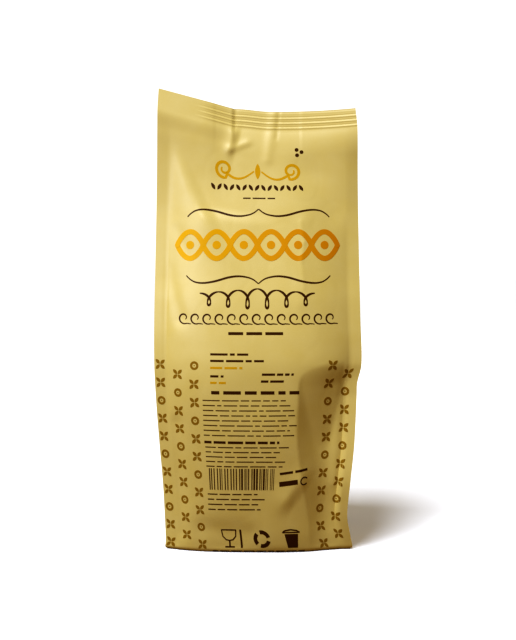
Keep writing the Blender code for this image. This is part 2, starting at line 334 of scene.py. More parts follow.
# A brow rises on one side only: start, end, how fast it rises and dies away, height
FRONT_BROWS = (
    ((-25, 163), (-39, 186), 8, 20, 2.5),
    ((-6, 160), (-21, 162), 7, 12, 0.6),
    ((16, 26), (21, 33), 7, 7, 0.9),
)
# The corner seals hold the film, so folds and brows flatten towards them by these powers
EDGE_HOLD = 12
BROW_HOLD = 5
# Heights where the folds come in above the base and die away under the seal
FOLDS_START, FOLDS_END = (0, 6), (180, 196)
# The fins of both faces run together from here up to the seal
JOIN_FOOT = 180.0
TOP_FOLDS = (
    ((8, 213), (5, 190), 2.5, 0.35),
)
TOP_BROWS = (
    ((-12.4, 194), (-10.6, 201), 4, 4, 1.2),
)
# Finer marks at the seal: a thin crease across the ribs, and a small facet beside the pinch
FINE_TOP_FOLDS = (
    ((10.8, 215), (9.4, 201), 0.8, -0.22),
)
FINE_TOP_BROWS = (
    ((-12.8, 193.0), (-5.0, 196.6), 4.0, 2.5, 0.6),
)
BACK_FOLDS = (
    ((-40, 188), (-16, 152), 9, 2.2),
    ((38, 190), (20, 158), 8, 1.8),
    ((-36, 94), (-8, 86), 6, -1.8),
    ((12, 76), (38, 88), 6, -1.6),
    ((40, 62), (38, 14), 4, -1.6),
    ((-39, 62), (-38, 12), 4, -1.6),
)
# Folds across a gusset: its side, height up the bag, half its height, how far it stands out
SIDE_FOLDS = (
    (-1, 98, 8, 1.6),
    (-1, 62, 9, -1.2),
    (1, 86, 8, -1.8),
    (1, 54, 9, 1.4),
)
# Fine creases of the front: start x z, end x z, half width, height
FINE_FOLDS = (
    ((21, 158), (22.5, 148), 1.0, 0.16),
    ((22.5, 148), (21, 139), 1.0, 0.16),
    ((21, 139), (22, 126), 1.0, 0.12),
    ((-39, 154), (-34, 142), 2.8, -0.3),
    ((-26, 12), (-4, 10), 5, -0.5),
)
print(len(FRONT_FOLDS + FINE_FOLDS), "folds and", len(FRONT_BROWS), "brows on the front")


# %% [markdown]
# Smooth curves and folds as functions
#
# The form could be sculpted by hand. Plain functions of a height and a place across the bag are
# enough for it, though, and they can be sampled as finely as the picture needs.

# %% Shape functions
# A fold has died away this many half widths from its line
FOLD_REACH = 3


def ease(t):
    t = min(max(t, 0.0), 1.0)
    return t * t * (3 - 2 * t)


def part_way(value, limits):
    """Goes smoothly from 0 at the first limit to 1 at the second."""
    return ease((value - limits[0]) / (limits[1] - limits[0]))


def along(profile, z):
    """The profile's value at height z, on a smooth curve through its points."""
    if z <= profile[0][0]:
        return profile[0][1]
    if z >= profile[-1][0]:
        return profile[-1][1]
    last = len(profile) - 1
    i = max(k for k in range(last) if profile[k][0] <= z)

    def slope(k):
        low = profile[max(k - 1, 0)]
        high = profile[min(k + 1, last)]
        return (high[1] - low[1]) / (high[0] - low[0])

    (z0, v0), (z1, v1) = profile[i], profile[i + 1]
    t = (z - z0) / (z1 - z0)
    bend = (z1 - z0) * t * (1 - t)
    return v0 + (v1 - v0) * ease(t) + bend * (slope(i) * (1 - t) - slope(i + 1) * t)


def fold_height(x, z, fold):
    (x0, z0), (x1, z1), half_width, height = fold
    run_x, run_z = x1 - x0, z1 - z0
    t = ((x - x0) * run_x + (z - z0) * run_z) / (run_x ** 2 + run_z ** 2)
    t = min(max(t, 0.0), 1.0)
    away = math.hypot(x - x0 - t * run_x, z - z0 - t * run_z)
    if away > FOLD_REACH * half_width:
        return 0.0
    return height * math.exp(-(away / half_width) ** 2)


def brow_height(x, z, brow):
    """How far a brow lifts the film: a rise across its line that dies away slowly beyond it."""
    (x0, z0), (x1, z1), rise, fade, height = brow
    run_x, run_z = x1 - x0, z1 - z0
    run = math.hypot(run_x, run_z)
    t = ((x - x0) * run_x + (z - z0) * run_z) / run ** 2
    beyond = max(-t, t - 1, 0.0) * run
    across = ((z - z0) * run_x - (x - x0) * run_z) / run
    return height * ease(across / rise + 0.5) * math.exp(
        -(max(across, 0.0) / fade) ** 2 - (beyond / fade) ** 2)


def smaller(a, b, blend):
    """The smaller of two values, with the edge between them rounded off."""
    near = max(blend - abs(a - b), 0.0) / blend
    return min(a, b) - blend * near * near / 4


def belly(z, u):
    """How far the front bellies out at u, which runs from -1 to 1 across the face."""
    return along(FRONT_BELLY, z) * (1 - min(abs(u), 1.0) ** CROWN_POWER)


def dent_depth(x, z):
    """A straight slope from the belly down to the corner, under an edge that leans in."""
    below = along(DENT_EDGE, x) - z
    left, right = along(DENT_LEFT, z), along(DENT_RIGHT, z)
    if below < 0 or x < left:
        return 0.0
    t = min((x - left) / (right - left), 1.0)
    bend = max(t - DENT_STRAIGHT, 0.0)
    gone = (t - bend * bend / (2 * (1 - DENT_STRAIGHT))) * 2 / (1 + DENT_STRAIGHT)
    drop = max(belly(z, x / FACE_HALF) - belly(z, left / FACE_HALF) * (1 - gone), 0.0)
    return max(smaller(drop, DENT_UNDERCUT * below, DENT_ROUNDING), 0.0) * part_way(z, DENT_FADE)


def corner_knock(x, z):
    """How far the right corner is knocked in beside the dent."""
    return along(CORNER_KNOCK, z) * part_way(x, CORNER_REACH)


def base_inset(z):
    if z >= BASE_ROUND:
        return 0.0
    return BASE_ROUND - math.sqrt(BASE_ROUND ** 2 - (BASE_ROUND - z) ** 2)


print("the front bellies out", round(belly(SEAL_FOOT / 2, 0), 1), "mm at half height")

# %% [markdown]
# Crumple
#
# Between the large folds the film is never quite flat. Three layers of noise give it slow swells,
# slanting tension marks and small handling creases. The creases come from folding the noise at
# zero, which turns a smooth hill into a sharp edge. A texture could do this too, but then the
# creases would not be in the exported mesh.

# %% Crumple
# Each layer's width in millimetres, how many times taller than wide it is, and the place in the
# noise of the first panel with the step to the next, so that no two panels are alike
SWELL = (26.0, 1.4, 0.0, 7.3)
TENSION = (11.0, 3.2, 3.1, 5.7)
CREASE = (15.0, 1.5, 11.9, 4.3)
SWELL_HIGH, TENSION_HIGH, CREASE_DEEP = 0.6, 0.14, 0.035
# The slant of the tension marks, and how far from zero the noise is still part of a crease
TENSION_SLANT = (0.94, 0.34)
CREASE_BAND = 0.12


def film_noise(x, z, panel, layer):
    wide, stretch, first, step = layer
    return noise.noise(Vector((x / wide, z / (wide * stretch), first + step * panel)))


def crumple(x, z, panel):
    """Small uneven heights of the film in millimetres."""
    slow = film_noise(x, z, panel, SWELL)
    tension = film_noise(x * TENSION_SLANT[0] + z * TENSION_SLANT[1], z, panel, TENSION)
    crease = max(0.0, CREASE_BAND - abs(film_noise(x, z, panel, CREASE))) / CREASE_BAND
    return SWELL_HIGH * slow + TENSION_HIGH * tension - CREASE_DEEP * crease


print("crumple stays under", round(SWELL_HIGH + TENSION_HIGH, 2), "mm")

# %% Relief of a face
# The crumple comes in above the base and dies away under the seal
CRUMPLE_START, CRUMPLE_END = (0, 4), (SEAL_FOOT - 2, SEAL_FOOT - 16)
FRONT_PANEL, BACK_PANEL, SIDE_PANEL = 0, 1, 3


def relief(x, z, folds, brows, panel):
    calm = part_way(z, FOLDS_START) * (1 - part_way(z, FOLDS_END))
    drawn = part_way(z, CRUMPLE_END)
    held = 1 - min(abs(x) / FACE_HALF, 1.0) ** BROW_HOLD
    formed = sum(fold_height(x, z, fold) for fold in folds)
    formed += held * sum(brow_height(x, z, brow) for brow in brows)
    return calm * formed + part_way(z, CRUMPLE_START) * drawn * crumple(x, z, panel)


def front_relief(x, z):
    return relief(x, z, FRONT_FOLDS + FINE_FOLDS, FRONT_BROWS, FRONT_PANEL)


def back_relief(x, z):
    return relief(x, z, BACK_FOLDS, (), BACK_PANEL)


print("crumple in the middle of the front", round(crumple(0, SEAL_FOOT / 2, FRONT_PANEL), 2), "mm")

# %% [markdown]
# One level section of the bag
#
# A section runs along the front face with a fin at each end, round the right gusset, along the
# back and round the left gusset. A bellied face keeps its film length: its chord gets shorter as
# it bows out, which is why the bag is narrower low down. The bag could also be a box that is bent
# by modifiers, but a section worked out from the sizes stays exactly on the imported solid.

# %% Front and back
# How many faces of the mesh go across a panel and across a fin
PANEL_CELLS = 112
FIN_CELLS = 4


def panel_chain(z, left_tip, right_tip, left_sweep, right_sweep, crown, bend):
    """One face at height z as x and depth, left to right: a fin, the panel and a fin."""
    inset = base_inset(z)
    depth = along(CORNER_DEPTH, z) - inset
    left_root = -(left_tip - inset) + FIN_WIDTH * math.cos(left_sweep)
    right_root = right_tip - inset - FIN_WIDTH * math.cos(right_sweep)
    chain = []
    for k in range(FIN_CELLS):
        out = 1 - k / FIN_CELLS
        chain.append((left_root - out * FIN_WIDTH * math.cos(left_sweep),
                      depth - out * FIN_WIDTH * math.sin(left_sweep)))
    centre, half = (left_root + right_root) / 2, (right_root - left_root) / 2
    arc = 2 * math.atan(crown(centre, z, 0) / half)
    creased = FIN_CREASE * (1 - part_way(z, CREASE_FADE))
    for k in range(PANEL_CELLS + 1):
        u = 2 * k / PANEL_CELLS - 1
        if arc > 0:
            x = centre + half * math.sin(arc * u) / math.sin(arc)
        else:
            x = centre + half * u
        crease = creased if k == 0 else 0.0
        chain.append((x, depth - crease + crown(x, z, u) + (1 - abs(u) ** EDGE_HOLD) * bend(x, z)))
    for k in range(1, FIN_CELLS + 1):
        out = k / FIN_CELLS
        chain.append((right_root + out * FIN_WIDTH * math.cos(right_sweep),
                      depth - out * FIN_WIDTH * math.sin(right_sweep)))
    return chain


def front_crown(x, z, u):
    return belly(z, u) - dent_depth(x, z)


def back_crown(x, z, u):
    return along(BACK_BELLY, z) * (1 - abs(u) ** CROWN_POWER)


def front_chain(z):
    chain = panel_chain(z, along(LEFT_TIP, z), along(RIGHT_TIP, z),
                        math.radians(along(LEFT_SWEEP, z)), math.radians(along(RIGHT_SWEEP, z)),
                        front_crown, front_relief)
    return [(x, corner_knock(x, z) - depth) for x, depth in chain]


def back_chain(z):
    join = part_way(z, (JOIN_FOOT, SEAL_FOOT))
    left = along(BACK_TIP, z) * (1 - join) + along(LEFT_TIP, z) * join
    right = along(BACK_TIP, z) * (1 - join) + along(RIGHT_TIP, z) * join
    sweep = math.radians(along(LEFT_SWEEP, z))
    return panel_chain(z, left, right, sweep, sweep, back_crown, back_relief)


print("front is", round(front_chain(SEAL_FOOT / 2)[-1][0] - front_chain(SEAL_FOOT / 2)[0][0], 1),
      "mm across at half height")

# %% Gussets
SIDE_CELLS = 34
# Half the film's width for the crumple, the power by which the fins hold it flat, and the heights
# where it comes in and dies away
SIDE_HALF = 26
SIDE_HOLD = 6
SIDE_START, SIDE_END = (0, 6), (170, 110)


def side_chain(z, front, back, side):
    """A gusset, front to back: the inner faces of its two fins and the folded panel between."""
    if side > 0:
        front_fin, back_fin = front[-1 - FIN_CELLS:], back[-1 - FIN_CELLS:]
    else:
        front_fin, back_fin = front[:FIN_CELLS + 1][::-1], back[:FIN_CELLS + 1][::-1]
    chain = [(x, y + FIN_THICK) for x, y in front_fin[:0:-1]]
    (x0, y0), (x1, y1) = front_fin[0], back_fin[0]
    y0, y1 = y0 + FIN_THICK, y1 - FIN_THICK
    fold, swell = along(GUSSET_FOLD, z), along(GUSSET_SWELL, z)
    loose = part_way(z, SIDE_START) * part_way(z, SIDE_END)
    for k in range(SIDE_CELLS + 1):
        v = 2 * k / SIDE_CELLS - 1
        t = (v + 1) / 2
        reach = swell * (1 - v * v) - fold * (1 - abs(v)) ** GUSSET_POWER
        for fold_side, fold_z, half_tall, height in SIDE_FOLDS:
            if fold_side == side:
                reach += height * math.exp(-((z - fold_z) / half_tall) ** 2) * (1 - v * v)
        reach += loose * (1 - v ** SIDE_HOLD) * crumple(v * SIDE_HALF, z, SIDE_PANEL + side)
        chain.append((x0 + (x1 - x0) * t + side * reach, y0 + (y1 - y0) * t))
    chain += [(x, y - FIN_THICK) for x, y in back_fin[1:]]
    return chain


print("gussets are folded in", along(GUSSET_FOLD, SEAL_FOOT), "mm under the seal")

# %% [markdown]
# The cross seal
#
# Hot jaws press four narrow ribs across all the layers. The ribs are real relief here and not a
# bump texture, because they catch the light and show in the outline of the seal's ends. Where the
# gussets are folded in between, the seal is two layers thicker, and the edge of that step shows as
# a faint upright line.

# %% Ribs and layers
# Across one rib from 0 to 1: where its ridge and its groove lie, and half their widths
RIDGE_AT, RIDGE_HALF = 0.5, 0.17
GROOVE_AT, GROOVE_HALF = 0.83, 0.1
# The step over the folded-in gussets: its height, its width, and the heights where it comes in
STEP_HIGH, STEP_WIDE = 0.12, 0.9
STEP_START = (188, 202)


def rib_relief(x, z):
    number, turn = divmod(RIB_COUNT * (z - SEAL_FOOT) / SEAL_TALL, 1.0)
    ridge = math.exp(-((turn - RIDGE_AT) / RIDGE_HALF) ** 2)
    groove = math.exp(-((turn - GROOVE_AT) / GROOVE_HALF) ** 2)
    pressed = TOP_RIB_SHARE if number >= RIB_COUNT - 1 else 1.0
    return (RIB_RELIEF * ridge - RIB_GROOVE * groove) * pressed * part_way(x, RIBS_FADE)


def layer_step(x, z):
    edge = ease((abs(x) - GUSSET_EDGE_X) / STEP_WIDE + 0.5)
    return STEP_HIGH * edge * part_way(z, STEP_START)


print("ribs every", SEAL_TALL / RIB_COUNT, "mm")

# %% Pinch and lean
def settled(x, y, z):
    """Where a point of the upright bag ends up, in metres, once the seal is pinched, its left
    flap stands up and the whole of it leans back."""
    grip = part_way(z, (FLAP_FOOT, SEAL_FOOT))
    flap = max(PINCH_X - x, 0.0)
    sag = SEAL_SAG * max(x - SEAL_SAG_X, 0.0) ** 2
    rise = FLAP_RISE * flap + SEAL_SAG_RISE * sag - SEAL_DIP * part_way(x, DIP_ACROSS)
    lean = FLAP_LEAN * ease(flap / FLAP_TURN) + sag
    pinch = ease((z - SEAL_FOOT) / PINCH_TALL + 1)
    step = pinch * PINCH_STEP * (1 - ease((x - PINCH_X) / PINCH_WIDE + 0.5))
    bent = sum(fold_height(x, z, fold) for fold in TOP_FOLDS + FINE_TOP_FOLDS)
    bent += sum(brow_height(x, z, brow) for brow in TOP_BROWS + FINE_TOP_BROWS)
    above = max(z - SEAL_FOOT + SEAL_BEND, 0.0)
    turned = min(above, SEAL_BEND)
    back = SEAL_LEAN * (turned ** 2 / (2 * SEAL_BEND) + above - turned)
    return x * MM, (y + back - bent - step - grip * lean) * MM, (z + grip * rise) * MM


flap_tip = settled(-along(LEFT_TIP, SEAL_FOOT + SEAL_TALL), 0, SEAL_FOOT + SEAL_TALL)
print("the flap's tip is", round(flap_tip[2] / MM, 1), "mm up")

# %% [markdown]
# The film as a mesh
#
# The sections are stacked and joined by rows of faces, from the base to the foot of the cross
# seal. There the gussets end and the seal goes on as one slab. A cloth simulation could find the
# folds by itself, but it would give other folds than the photographed ones. Grids of points are
# kept for each panel, because the print is laid on them afterwards.

# %% Rows of the mesh
BODY_STEP = 0.86
SEAL_ROWS = 40
# The rounded edge of the base needs closer rows than the rest
body_heights = [0, 0.15, 0.4, 0.75, 1.2, 1.8, 2.6]
while body_heights[-1] < SEAL_FOOT - BODY_STEP:
    body_heights.append(body_heights[-1] + BODY_STEP)
body_heights[-1] = SEAL_FOOT
panels = {name: [] for name in ("front", "right", "back", "left")}
print(len(body_heights), "sections below the seal")


def add_points(mesh, chain, z):
    return [mesh.verts.new(settled(x, y, z)) for x, y in chain]


def add_strip(mesh, low, high):
    """A row of faces between two chains of points."""
    for a, b, c, d in zip(low, low[1:], high[1:], high):
        mesh.faces.new((a, b, c, d))


# %% Body of the bag
def add_section(mesh, z):
    """The points round the bag at height z, as four chains: front, right, back and left."""
    front, back = front_chain(z), back_chain(z)
    right, left = side_chain(z, front, back, 1), side_chain(z, front, back, -1)
    front = [(x, y - layer_step(x, z)) for x, y in front]
    back = [(x, y + layer_step(x, z)) for x, y in back]
    return [add_points(mesh, chain, z) for chain in (front, right, back[::-1], left[::-1])]


def stack_body(mesh):
    """Stacks the sections up to the seal, and keeps the points of each face for the print."""
    below = None
    for z in body_heights:
        chains = add_section(mesh, z)
        for name, row in zip(panels, chains):
            panels[name].append([tuple(point.co) for point in row])
        ring = [point for chain in chains for point in chain]
        if below is None:
            mesh.faces.new(ring[::-1])
        else:
            add_strip(mesh, below + below[:1], ring + ring[:1])
        below = ring
    return chains


print(2 * (PANEL_CELLS + SIDE_CELLS + 4 * FIN_CELLS + 2), "points round each section")


# %% Slab of the seal
def stack_seal(mesh, chains):
    """Closes the gussets and goes on from the front and the back as one slab."""
    front_low, right_low, back_low, left_low = chains
    mesh.faces.new(right_low)
    mesh.faces.new(left_low)
    ends_low = ([front_low[-1], right_low[0], right_low[-1], back_low[0]],
                [back_low[-1], left_low[0], left_low[-1], front_low[0]])
    for k in range(1, SEAL_ROWS + 1):
        z = SEAL_FOOT + SEAL_TALL * k / SEAL_ROWS
        front = [(x, y - rib_relief(x, z) - layer_step(x, z)) for x, y in front_chain(z)]
        back = [(x, y + rib_relief(x, z) + layer_step(x, z)) for x, y in back_chain(z)]
        front_high, back_high = add_points(mesh, front, z), add_points(mesh, back[::-1], z)
        add_strip(mesh, front_low, front_high)
        add_strip(mesh, back_low, back_high)
        ends_high = ((front_high[-1], back_high[0]), (back_high[-1], front_high[0]))
        for end, high in zip(ends_low, ends_high):
            mesh.faces.new((*end, high[1], high[0]))
        front_low, back_low = front_high, back_high
        ends_low = ends_high
    add_strip(mesh, front_low, back_low[::-1])


print("the seal has", SEAL_ROWS, "rows of faces")


# %% Build the film
# Edges that turn by more than this stay crisp
SHARP_EDGE = math.radians(50)


def add_piece(name, data):
    """Shades a mesh smooth but for its crisp edges and puts it in the scene."""
    data.shade_smooth()
    data.set_sharp_from_angle(angle=SHARP_EDGE)
    piece = bpy.data.objects.new(name, data)
    scene.collection.objects.link(piece)
    return piece


def build_film():
    mesh = bmesh.new()
    stack_seal(mesh, stack_body(mesh))
    bmesh.ops.recalc_face_normals(mesh, faces=mesh.faces)
    bmesh.ops.triangulate(mesh, faces=[face for face in mesh.faces if len(face.verts) > 4])
    data = bpy.data.meshes.new("film_bag")
    mesh.to_mesh(data)
    mesh.free()
    return add_piece("film_bag", data)


film_bag = build_film()
print("film faces", len(film_bag.data.polygons))

# %% [markdown]
# Matt printed film
#
# The real bag is oriented polypropylene with a matt, paper-feel lacquer. The lacquer scatters
# light, so highlights are broad and soft and the golden ground colour stays even. A faint grain
# and a slight unevenness of the ground ink keep it from looking like plastic sheet. Both come
# from noise in the object's own space, so they need no image and no unwrapping.

# %% Film material
FILM_COLOUR = "#E2CB73"
FILM_COLOUR_THIN = "#E8D488"
# How strongly the lacquer shines on the ground colour and over the inks
FILM_SHINE, INK_SHINE = 0.6, 0.1
# Polypropylene's own refraction, and a lacquer between satin and dead matt
FILM_IOR = 1.49
FILM_ROUGHNESS = 0.42
# The ground ink is uneven over some millimetres. The lacquer's real grain is finer than a tenth
# of a millimetre and would not show, so it is drawn coarser
MOTTLE_MM, MOTTLE_DETAIL = 9.0, 3.0
GRAIN_MM, GRAIN_DETAIL = 0.6, 2.0
GRAIN_STRENGTH, GRAIN_DEEP = 0.3, 0.06


def matt_lacquer(name, colour, colour_thin, shine, fade=None):
    """Lacquered print. With a fade the colours run from its first to its second millimetre across
    a face, from the left to the right of someone who looks at that face."""
    material = bpy.data.materials.new(name)
    material.use_nodes = True
    tree = material.node_tree
    shader = tree.nodes["Principled BSDF"]
    place = add_node(tree, "ShaderNodeTexCoord").outputs["Object"]
    mottle = add_node(tree, "ShaderNodeTexNoise",
                      {"Scale": 1 / (MOTTLE_MM * MM), "Detail": MOTTLE_DETAIL}, {"Vector": place})
    share = mottle.outputs["Fac"]
    if fade:
        axes = add_node(tree, "ShaderNodeSeparateXYZ", links={0: place})
        facing = add_node(tree, "ShaderNodeMath", {"operation": "SIGN"}, {0: axes.outputs["Y"]})
        leftward = add_node(tree, "ShaderNodeMath", {"operation": "MULTIPLY"},
                            {0: axes.outputs["X"], 1: facing.outputs[0]})
        ramp = add_node(tree, "ShaderNodeMapRange",
                        {"From Min": -fade[0] * MM, "From Max": -fade[1] * MM},
                        {"Value": leftward.outputs[0]})
        share = ramp.outputs["Result"]
    ground = add_node(tree, "ShaderNodeMix", {
        "data_type": "RGBA", 6: linear(colour), 7: linear(colour_thin)}, {0: share})
    grain = add_node(tree, "ShaderNodeTexNoise",
                     {"Scale": 1 / (GRAIN_MM * MM), "Detail": GRAIN_DETAIL}, {"Vector": place})
    bump = add_node(tree, "ShaderNodeBump",
                    {"Strength": GRAIN_STRENGTH, "Distance": GRAIN_DEEP * MM},
                    {"Height": grain.outputs["Fac"]})
    tree.links.new(ground.outputs[2], shader.inputs["Base Color"])
    tree.links.new(bump.outputs["Normal"], shader.inputs["Normal"])
    shader.inputs["Roughness"].default_value = FILM_ROUGHNESS
    shader.inputs["IOR"].default_value = FILM_IOR
    shader.inputs["Specular IOR Level"].default_value = shine
    return material


film = matt_lacquer("matt_lacquered_polypropylene", FILM_COLOUR, FILM_COLOUR_THIN, FILM_SHINE)
film_bag.data.materials.append(film)
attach(film_bag, "root")
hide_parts("bag")
print("film material", film.name)

# %% [markdown]
# Laying ink on the film
#
# Print follows every fold of the film it is on, and on this bag it narrows towards the base with
# the film. So each printed shape is drawn in film coordinates: millimetres across the flat film
# from the middle of a face, and height up the bag. A shape is a ribbon between two rails of such
# points, and it is laid on the grid of points that was kept for that face, a hair proud of it.
# An image on an unwrapped film would be the usual way, but drawn ribbons stay sharp at any size.

# %% Film coordinates
# Half the film's width between its corner seals
PANEL_FILM = 43.5
SIDE_FILM = 30.0
# Keeps a point at the very edge inside the last cell of the grid
EDGE_ROOM = 1.001


def film_columns(half, cells):
    """Film millimetres of each column of a face: a fin, the face and a fin."""
    fin = FIN_WIDTH * np.arange(1, FIN_CELLS + 1) / FIN_CELLS
    return np.concatenate([-half - fin[::-1], np.linspace(-half, half, cells + 1), half + fin])


columns = {name: film_columns(SIDE_FILM, SIDE_CELLS) if name in ("right", "left")
           else film_columns(PANEL_FILM, PANEL_CELLS) for name in panels}
panels = {name: np.array(rows) for name, rows in panels.items()}
film_heights = np.array(body_heights)
print("points to print on", {name: grid.shape[:2] for name, grid in panels.items()})


def on_film(face, across, up):
    """Points of a face at film coordinates, and the film's normals there."""
    grid = panels[face]
    last_row, last_col = grid.shape[0] - EDGE_ROOM, grid.shape[1] - EDGE_ROOM
    col = np.clip(np.interp(across, columns[face], np.arange(grid.shape[1])), 0, last_col)
    row = np.clip(np.interp(up, film_heights, np.arange(grid.shape[0])), 0, last_row)
    c, r = col.astype(int), row.astype(int)
    u, v = (col - c)[..., None], (row - r)[..., None]
    low, high = grid[r, c], grid[r + 1, c]
    low_next, high_next = grid[r, c + 1], grid[r + 1, c + 1]
    place = (low * (1 - u) + low_next * u) * (1 - v) + (high * (1 - u) + high_next * u) * v
    along_row = (low_next - low) * (1 - v) + (high_next - high) * v
    along_column = (high - low) * (1 - u) + (high_next - low_next) * u
    normal = np.cross(along_row, along_column)
    return place, normal / np.linalg.norm(normal, axis=-1, keepdims=True)


# %% [markdown]
# Ink ribbons
#
# Every ribbon becomes a closed slab a tenth of a millimetre thick, half of it sunk into the film,
# so that the print is real geometry and stays with the mesh when the bag is exported. Real ink is
# a few thousandths thick, but a slab so thin would flicker against the film. All ribbons of one
# ink are joined into one piece.

# %% Ink ribbons
INK_PROUD = 0.05 * MM
INK_DEEP = 0.05 * MM
# Ribbons get a point at least this often, in millimetres, so that they follow the creases
INK_STEP = 0.45
inks = {}


def finer_rails(rail_a, rail_b):
    """The same two rails with points no more than an ink step apart."""
    steps = np.maximum(np.linalg.norm(np.diff(rail_a, axis=0), axis=1),
                       np.linalg.norm(np.diff(rail_b, axis=0), axis=1))
    fine = [0.0]
    for k, step in enumerate(steps):
        pieces = max(1, math.ceil(step / INK_STEP))
        fine += [k + (j + 1) / pieces for j in range(pieces)]
    index = np.arange(len(rail_a))
    return [np.stack([np.interp(fine, index, rail[:, i]) for i in (0, 1)], axis=1)
            for rail in (rail_a, rail_b)]


def slab_faces(rows, cols):
    """Faces of a slab whose points are an upper sheet of rows and columns and then a lower one."""
    sheet = np.arange(rows * cols).reshape(rows, cols)
    under = sheet + rows * cols

    def quads(grid):
        corners = [grid[:-1, :-1], grid[:-1, 1:], grid[1:, 1:], grid[1:, :-1]]
        return np.stack(corners, axis=-1).reshape(-1, 4)

    edge = np.concatenate([sheet[0, :-1], sheet[:-1, -1], sheet[-1, :0:-1], sheet[:0:-1, 0]])
    after = np.roll(edge, -1)
    rim = np.stack([edge, edge + rows * cols, after + rows * cols, after], axis=-1)
    return np.concatenate([quads(sheet), quads(under)[:, ::-1], rim])


def lay_ribbon(ink, face, rail_a, rail_b, lift=0.0):
    """Lays a slab of ink between two rails, each a list of film points of the same length. Where
    it crosses another ribbon, a lift of some hundredths of a millimetre keeps one on top."""
    rail_a, rail_b = finer_rails(np.array(rail_a, float), np.array(rail_b, float))
    widest = np.linalg.norm(rail_b - rail_a, axis=1).max()
    t = np.linspace(0, 1, max(1, math.ceil(widest / INK_STEP)) + 1)[None, :, None]
    flat = rail_a[:, None] * (1 - t) + rail_b[:, None] * t
    place, normal = on_film(face, flat[..., 0], flat[..., 1])
    points = np.concatenate([(place + normal * (INK_PROUD + lift * MM)).reshape(-1, 3),
                             (place - normal * INK_DEEP).reshape(-1, 3)])
    faces = slab_faces(*flat.shape[:2])
    if np.cross(rail_a[-1] - rail_a[0], rail_b[0] - rail_a[0]) < 0:
        faces = faces[:, ::-1]
    inks.setdefault(ink, []).append((points, faces))


print("ink slabs are", round((INK_PROUD + INK_DEEP) / MM, 2), "mm thick")


# %% Strokes and dots
GRAIN_STEPS, DOT_STEPS = 8, 8
# How wide a grain is at its points, and how full it is between them
GRAIN_TIP, GRAIN_FULLNESS = 0.04, 0.8
DOT_TIP = 0.01
RING_LEAST_STEPS, RING_STEPS_PER_MM = 12, 4


def stroke(ink, face, path, width, lift=0.0):
    """A line along a path of film points. The width is a number or a function of 0 to 1."""
    path = np.array(path, float)
    t = np.linspace(0, 1, len(path))
    half = np.array([width(k) if callable(width) else width for k in t])[:, None] / 2
    run = np.gradient(path, axis=0)
    side = np.stack([-run[:, 1], run[:, 0]], axis=1) / np.linalg.norm(run, axis=1, keepdims=True)
    lay_ribbon(ink, face, path - side * half, path + side * half, lift)


def bar(ink, face, x, z, long, thick, slope=0.0):
    """A bar that starts at film point x, z and slopes up to the right."""
    stroke(ink, face, [(x, z), (x + long, z + long * slope)], thick)


def grain(ink, face, x, z, long, thick, angle):
    """A grain shape, pointed at both ends, round its middle x, z."""
    dx, dz = math.cos(angle) * long / 2, math.sin(angle) * long / 2
    ends = [1 - 2 * k / GRAIN_STEPS for k in range(GRAIN_STEPS + 1)]
    stroke(ink, face, [(x - dx * end, z - dz * end) for end in ends],
           lambda t: GRAIN_TIP + thick * math.sin(math.pi * t) ** GRAIN_FULLNESS)


def dot(ink, face, x, z, wide, lift=0.0):
    turns = [math.pi * k / DOT_STEPS for k in range(DOT_STEPS + 1)]
    path = [(x - wide / 2 * math.cos(turn), z) for turn in turns]
    rail = [math.sin(turn) * wide / 2 + DOT_TIP for turn in turns]
    lay_ribbon(ink, face, [(px, pz - r) for (px, pz), r in zip(path, rail)],
               [(px, pz + r) for (px, pz), r in zip(path, rail)], lift)


def ring(ink, face, x, z, wide, thick, start=0.0, sweep=2 * math.pi):
    turns = max(RING_LEAST_STEPS, round(wide * RING_STEPS_PER_MM * sweep / (2 * math.pi)))
    path = [(x + wide / 2 * math.cos(start + sweep * k / turns),
             z + wide / 2 * math.sin(start + sweep * k / turns)) for k in range(turns + 1)]
    stroke(ink, face, path, thick)


print("grains are drawn in", GRAIN_STEPS, "steps and dots in", DOT_STEPS)

# %% [markdown]
# Braces and scrolls
#
# The ornaments are of common kinds. A brace is a pen stroke, thin at its ends and fuller between,
# so it is one smooth curve with a swelling width, mirrored left and right. A scroll is a sagging
# arm that goes over into a spiral. Curve objects could draw both, but only a path of film points
# can be laid on the folded film.

# %% Brace
# Half a brace from its tip outwards, as the share of its length and the rise in millimetres
BRACE_LINE = ((0, 1.9), (0.06, 0.2), (0.13, -0.9), (0.26, -1.6), (0.4, -1.1), (0.6, 0.8),
              (0.76, 1.6), (0.88, 1.1), (0.96, -0.5), (1, -1.9))
BRACE_HALF = 34.2
# The print lies a little to the right of the film's middle
BRACE_SHIFT = 0.5
BRACE_STEPS = 40
BRACE_FINE, BRACE_SWELLING = 0.5, 0.45


def brace(ink, face, z, way):
    """A typographic brace. Its tip points up where way is 1 and down where it is -1."""
    for side in (-1, 1):
        path = [(side * BRACE_HALF * k / BRACE_STEPS + BRACE_SHIFT,
                 z + way * along(BRACE_LINE, k / BRACE_STEPS)) for k in range(BRACE_STEPS + 1)]
        stroke(ink, face, path, lambda t: BRACE_FINE + BRACE_SWELLING * math.sin(math.pi * t))


print("a brace is", 2 * BRACE_HALF, "mm long")


# %% Scrolls
# The arm's start in millimetres, its reach as a share of the half width, its sag as a share of
# the height, and the share of a half wave that it bends through
ARM_START, ARM_REACH, ARM_SAG, ARM_BEND = 1.8, 0.72, 0.42, 0.9
ARM_STEPS, CURL_STEPS = 20, 44
# The curl's hub as shares of the half width and the height, its start and its turns, and its
# radius at the start with what it loses, as shares of the height
HUB_OUT, HUB_UP = 0.76, 0.04
CURL_START, CURL_TURNS = -0.55 * math.pi, 1.35
CURL_WIDE, CURL_LOSS = 0.46, 0.34
# How thick the pen line is at its ends and how much it swells, as shares of its thickness
SCROLL_FINE, SCROLL_SWELLING = 0.55, 0.6
